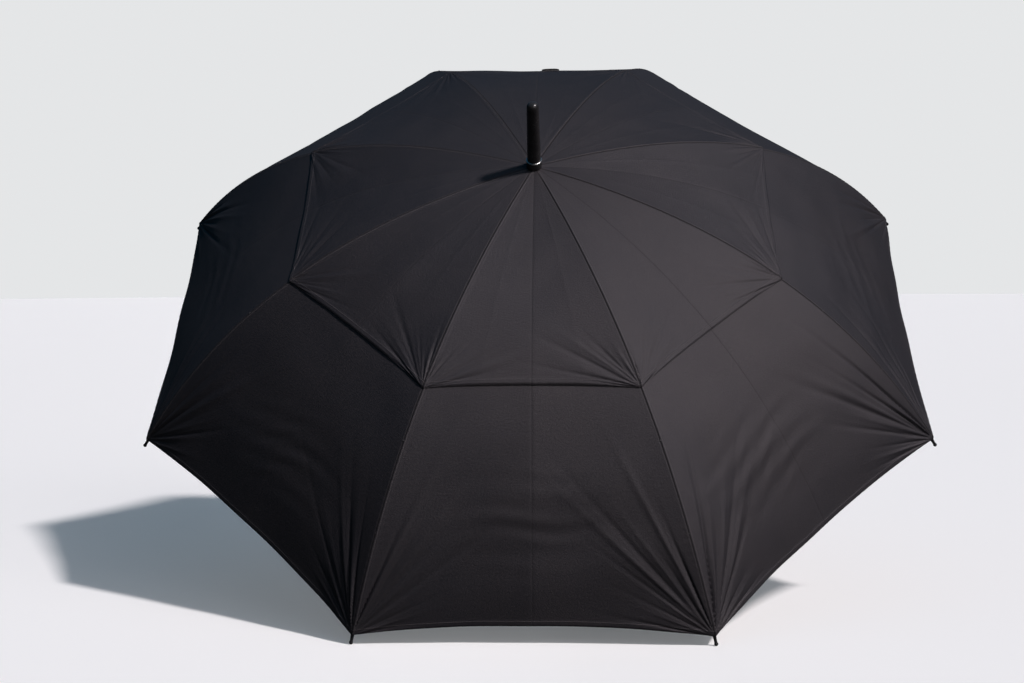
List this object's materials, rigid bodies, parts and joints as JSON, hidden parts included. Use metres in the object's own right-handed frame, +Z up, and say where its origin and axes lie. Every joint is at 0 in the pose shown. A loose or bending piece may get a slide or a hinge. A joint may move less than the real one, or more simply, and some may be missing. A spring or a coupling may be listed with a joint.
{
  "type": "golf umbrella",
  "caption": "Large open golf umbrella with a vented double canopy on a folding rib frame, leaning on two rib tips and its straight handle.",
  "frame": {"origin": "middle of the floor under the resting umbrella, at the bottom of its bounding box", "axes": "+X to the right across the canopy, +Y away from the ferrule's side, +Z up"},
  "size_m": [1.2126, 0.9002, 0.8689],
  "materials": {
    "canopy_fabric": "black pongee with a faint sheen",
    "strap_webbing": "matt black webbing",
    "rib_fibreglass": "smooth black fibreglass",
    "shaft_fibreglass": "polished black fibreglass",
    "black_plastic": "moulded black plastic, half gloss",
    "grip_foam": "matt black foam",
    "plated_steel": "plated spring steel"
  },
  "bodies": {
    "shaft": {"shaft": "shaft_fibreglass", "ferrule": "black_plastic", "top_notch": "black_plastic", "notch_wire": "plated_steel", "handle_grip": "grip_foam", "handle_cap": "black_plastic"},
    "runner": {"runner": "black_plastic", "runner_wire": "plated_steel"},
    "top_catch": {"top_catch": "plated_steel"},
    "bottom_catch": {"bottom_catch": "plated_steel"},
    "rib_1": {"rib_1": "rib_fibreglass", "upper_gore_1": "canopy_fabric"},
    "outer_rib_1": {"outer_rib_1": "rib_fibreglass", "tip_1": "black_plastic", "lower_gore_1": "canopy_fabric"},
    "stretcher_1": {"stretcher_1": "rib_fibreglass"},
    "rib_2": {"rib_2": "rib_fibreglass", "upper_gore_2": "canopy_fabric"},
    "outer_rib_2": {"outer_rib_2": "rib_fibreglass", "tip_2": "black_plastic", "lower_gore_2": "canopy_fabric", "tie_strap": "strap_webbing"},
    "stretcher_2": {"stretcher_2": "rib_fibreglass"},
    "rib_3": {"rib_3": "rib_fibreglass", "upper_gore_3": "canopy_fabric"},
    "outer_rib_3": {"outer_rib_3": "rib_fibreglass", "tip_3": "black_plastic", "lower_gore_3": "canopy_fabric"},
    "stretcher_3": {"stretcher_3": "rib_fibreglass"},
    "rib_4": {"rib_4": "rib_fibreglass", "upper_gore_4": "canopy_fabric"},
    "outer_rib_4": {"outer_rib_4": "rib_fibreglass", "tip_4": "black_plastic", "lower_gore_4": "canopy_fabric"},
    "stretcher_4": {"stretcher_4": "rib_fibreglass"},
    "rib_5": {"rib_5": "rib_fibreglass", "upper_gore_5": "canopy_fabric"},
    "outer_rib_5": {"outer_rib_5": "rib_fibreglass", "tip_5": "black_plastic", "lower_gore_5": "canopy_fabric"},
    "stretcher_5": {"stretcher_5": "rib_fibreglass"},
    "rib_6": {"rib_6": "rib_fibreglass", "upper_gore_6": "canopy_fabric"},
    "outer_rib_6": {"outer_rib_6": "rib_fibreglass", "tip_6": "black_plastic", "lower_gore_6": "canopy_fabric"},
    "stretcher_6": {"stretcher_6": "rib_fibreglass"},
    "rib_7": {"rib_7": "rib_fibreglass", "upper_gore_7": "canopy_fabric"},
    "outer_rib_7": {"outer_rib_7": "rib_fibreglass", "tip_7": "black_plastic", "lower_gore_7": "canopy_fabric"},
    "stretcher_7": {"stretcher_7": "rib_fibreglass"},
    "rib_8": {"rib_8": "rib_fibreglass", "upper_gore_8": "canopy_fabric"},
    "outer_rib_8": {"outer_rib_8": "rib_fibreglass", "tip_8": "black_plastic", "lower_gore_8": "canopy_fabric"},
    "stretcher_8": {"stretcher_8": "rib_fibreglass"}
  },
  "joints": [
    {"name": "runner_slide", "type": "slide", "parent": "shaft", "child": "runner", "axis": [0, 0.6876, -0.7261], "range_m": [0, 0.45722]},
    {"name": "rib_hinge_1", "type": "hinge", "parent": "shaft", "child": "rib_1", "pos_m": [-0.00478, -0.21177, 0.66778], "axis": [-0.9239, -0.2779, -0.2631], "range_deg": [0, 73.45], "deforming": ["upper_gore_1"]},
    {"name": "rib_flex_1", "type": "hinge", "parent": "rib_1", "child": "outer_rib_1", "pos_m": [-0.14802, 0.09894, 0.84259], "axis": [0.9239, 0.2779, 0.2631], "range_deg": [0, 24], "deforming": ["lower_gore_1"]},
    {"name": "stretcher_hinge_1", "type": "hinge", "parent": "rib_1", "child": "stretcher_1", "pos_m": [-0.11036, 0.00775, 0.80665], "axis": [0.9239, 0.2779, 0.2631], "range_deg": [0, 146.89]},
    {"name": "rib_hinge_2", "type": "hinge", "parent": "shaft", "child": "rib_2", "pos_m": [0.00478, -0.21177, 0.66778], "axis": [-0.9239, 0.2779, 0.2631], "range_deg": [0, 73.45], "deforming": ["upper_gore_2"]},
    {"name": "rib_flex_2", "type": "hinge", "parent": "rib_2", "child": "outer_rib_2", "pos_m": [0.14802, 0.09894, 0.84259], "axis": [0.9239, -0.2779, -0.2631], "range_deg": [0, 24], "deforming": ["lower_gore_2", "tie_strap"]},
    {"name": "stretcher_hinge_2", "type": "hinge", "parent": "rib_2", "child": "stretcher_2", "pos_m": [0.11036, 0.00775, 0.80665], "axis": [0.9239, -0.2779, -0.2631], "range_deg": [0, 146.89]},
    {"name": "rib_hinge_3", "type": "hinge", "parent": "shaft", "child": "rib_3", "pos_m": [0.01155, -0.21668, 0.66313], "axis": [-0.3827, 0.6708, 0.6353], "range_deg": [0, 73.45], "deforming": ["upper_gore_3"]},
    {"name": "rib_flex_3", "type": "hinge", "parent": "rib_3", "child": "outer_rib_3", "pos_m": [0.35734, -0.05304, 0.69865], "axis": [0.3827, -0.6708, -0.6353], "range_deg": [0, 24], "deforming": ["lower_gore_3"]},
    {"name": "stretcher_hinge_3", "type": "hinge", "parent": "rib_3", "child": "stretcher_3", "pos_m": [0.26643, -0.10556, 0.69933], "axis": [0.3827, -0.6708, -0.6353], "range_deg": [0, 146.89]},
    {"name": "rib_hinge_4", "type": "hinge", "parent": "shaft", "child": "rib_4", "pos_m": [0.01155, -0.22362, 0.65655], "axis": [0.3827, 0.6708, 0.6353], "range_deg": [0, 73.45], "deforming": ["upper_gore_4"]},
    {"name": "rib_flex_4", "type": "hinge", "parent": "rib_4", "child": "outer_rib_4", "pos_m": [0.35734, -0.26798, 0.49508], "axis": [-0.3827, -0.6708, -0.6353], "range_deg": [0, 24], "deforming": ["lower_gore_4"]},
    {"name": "stretcher_hinge_4", "type": "hinge", "parent": "rib_4", "child": "stretcher_4", "pos_m": [0.26643, -0.26582, 0.54756], "axis": [-0.3827, -0.6708, -0.6353], "range_deg": [0, 146.89]},
    {"name": "rib_hinge_5", "type": "hinge", "parent": "shaft", "child": "rib_5", "pos_m": [0.00478, -0.22854, 0.6519], "axis": [0.9239, 0.2779, 0.2631], "range_deg": [0, 73.45], "deforming": ["upper_gore_5"]},
    {"name": "rib_flex_5", "type": "hinge", "parent": "rib_5", "child": "outer_rib_5", "pos_m": [0.14802, -0.41997, 0.35114], "axis": [-0.9239, -0.2779, -0.2631], "range_deg": [0, 24], "deforming": ["lower_gore_5"]},
    {"name": "stretcher_hinge_5", "type": "hinge", "parent": "rib_5", "child": "stretcher_5", "pos_m": [0.11036, -0.37913, 0.44025], "axis": [-0.9239, -0.2779, -0.2631], "range_deg": [0, 146.89]},
    {"name": "rib_hinge_6", "type": "hinge", "parent": "shaft", "child": "rib_6", "pos_m": [-0.00478, -0.22854, 0.6519], "axis": [0.9239, -0.2779, -0.2631], "range_deg": [0, 73.45], "deforming": ["upper_gore_6"]},
    {"name": "rib_flex_6", "type": "hinge", "parent": "rib_6", "child": "outer_rib_6", "pos_m": [-0.14802, -0.41997, 0.35114], "axis": [-0.9239, 0.2779, 0.2631], "range_deg": [0, 24], "deforming": ["lower_gore_6"]},
    {"name": "stretcher_hinge_6", "type": "hinge", "parent": "rib_6", "child": "stretcher_6", "pos_m": [-0.11036, -0.37913, 0.44025], "axis": [-0.9239, 0.2779, 0.2631], "range_deg": [0, 146.89]},
    {"name": "rib_hinge_7", "type": "hinge", "parent": "shaft", "child": "rib_7", "pos_m": [-0.01155, -0.22362, 0.65655], "axis": [0.3827, -0.6708, -0.6353], "range_deg": [0, 73.45], "deforming": ["upper_gore_7"]},
    {"name": "rib_flex_7", "type": "hinge", "parent": "rib_7", "child": "outer_rib_7", "pos_m": [-0.35734, -0.26798, 0.49508], "axis": [-0.3827, 0.6708, 0.6353], "range_deg": [0, 24], "deforming": ["lower_gore_7"]},
    {"name": "stretcher_hinge_7", "type": "hinge", "parent": "rib_7", "child": "stretcher_7", "pos_m": [-0.26643, -0.26582, 0.54756], "axis": [-0.3827, 0.6708, 0.6353], "range_deg": [0, 146.89]},
    {"name": "rib_hinge_8", "type": "hinge", "parent": "shaft", "child": "rib_8", "pos_m": [-0.01155, -0.21668, 0.66313], "axis": [-0.3827, -0.6708, -0.6353], "range_deg": [0, 73.45], "deforming": ["upper_gore_8"]},
    {"name": "rib_flex_8", "type": "hinge", "parent": "rib_8", "child": "outer_rib_8", "pos_m": [-0.35734, -0.05304, 0.69865], "axis": [0.3827, 0.6708, 0.6353], "range_deg": [0, 24], "deforming": ["lower_gore_8"]},
    {"name": "stretcher_hinge_8", "type": "hinge", "parent": "rib_8", "child": "stretcher_8", "pos_m": [-0.26643, -0.10556, 0.69933], "axis": [0.3827, 0.6708, 0.6353], "range_deg": [0, 146.89]},
    {"name": "top_catch_press", "type": "slide", "parent": "shaft", "child": "top_catch", "axis": [0, -0.7261, -0.6876], "range_m": [0, 0.0019], "stiffness_N_per_m": 400, "springref_m": -0.001},
    {"name": "bottom_catch_press", "type": "slide", "parent": "shaft", "child": "bottom_catch", "axis": [0, -0.7261, -0.6876], "range_m": [0, 0.0019], "stiffness_N_per_m": 400, "springref_m": -0.001}
  ],
  "couplings": [
    {"joint": "rib_hinge_1", "follows": "runner_slide", "rad_per_m": 2.8037},
    {"joint": "rib_flex_1", "follows": "runner_slide", "rad_per_m": 0.91615},
    {"joint": "stretcher_hinge_1", "follows": "runner_slide", "rad_per_m": 5.6074},
    {"joint": "rib_hinge_2", "follows": "runner_slide", "rad_per_m": 2.8037},
    {"joint": "rib_flex_2", "follows": "runner_slide", "rad_per_m": 0.91615},
    {"joint": "stretcher_hinge_2", "follows": "runner_slide", "rad_per_m": 5.6074},
    {"joint": "rib_hinge_3", "follows": "runner_slide", "rad_per_m": 2.8037},
    {"joint": "rib_flex_3", "follows": "runner_slide", "rad_per_m": 0.91615},
    {"joint": "stretcher_hinge_3", "follows": "runner_slide", "rad_per_m": 5.6074},
    {"joint": "rib_hinge_4", "follows": "runner_slide", "rad_per_m": 2.8037},
    {"joint": "rib_flex_4", "follows": "runner_slide", "rad_per_m": 0.91615},
    {"joint": "stretcher_hinge_4", "follows": "runner_slide", "rad_per_m": 5.6074},
    {"joint": "rib_hinge_5", "follows": "runner_slide", "rad_per_m": 2.8037},
    {"joint": "rib_flex_5", "follows": "runner_slide", "rad_per_m": 0.91615},
    {"joint": "stretcher_hinge_5", "follows": "runner_slide", "rad_per_m": 5.6074},
    {"joint": "rib_hinge_6", "follows": "runner_slide", "rad_per_m": 2.8037},
    {"joint": "rib_flex_6", "follows": "runner_slide", "rad_per_m": 0.91615},
    {"joint": "stretcher_hinge_6", "follows": "runner_slide", "rad_per_m": 5.6074},
    {"joint": "rib_hinge_7", "follows": "runner_slide", "rad_per_m": 2.8037},
    {"joint": "rib_flex_7", "follows": "runner_slide", "rad_per_m": 0.91615},
    {"joint": "stretcher_hinge_7", "follows": "runner_slide", "rad_per_m": 5.6074},
    {"joint": "rib_hinge_8", "follows": "runner_slide", "rad_per_m": 2.8037},
    {"joint": "rib_flex_8", "follows": "runner_slide", "rad_per_m": 0.91615},
    {"joint": "stretcher_hinge_8", "follows": "runner_slide", "rad_per_m": 5.6074}
  ]
}
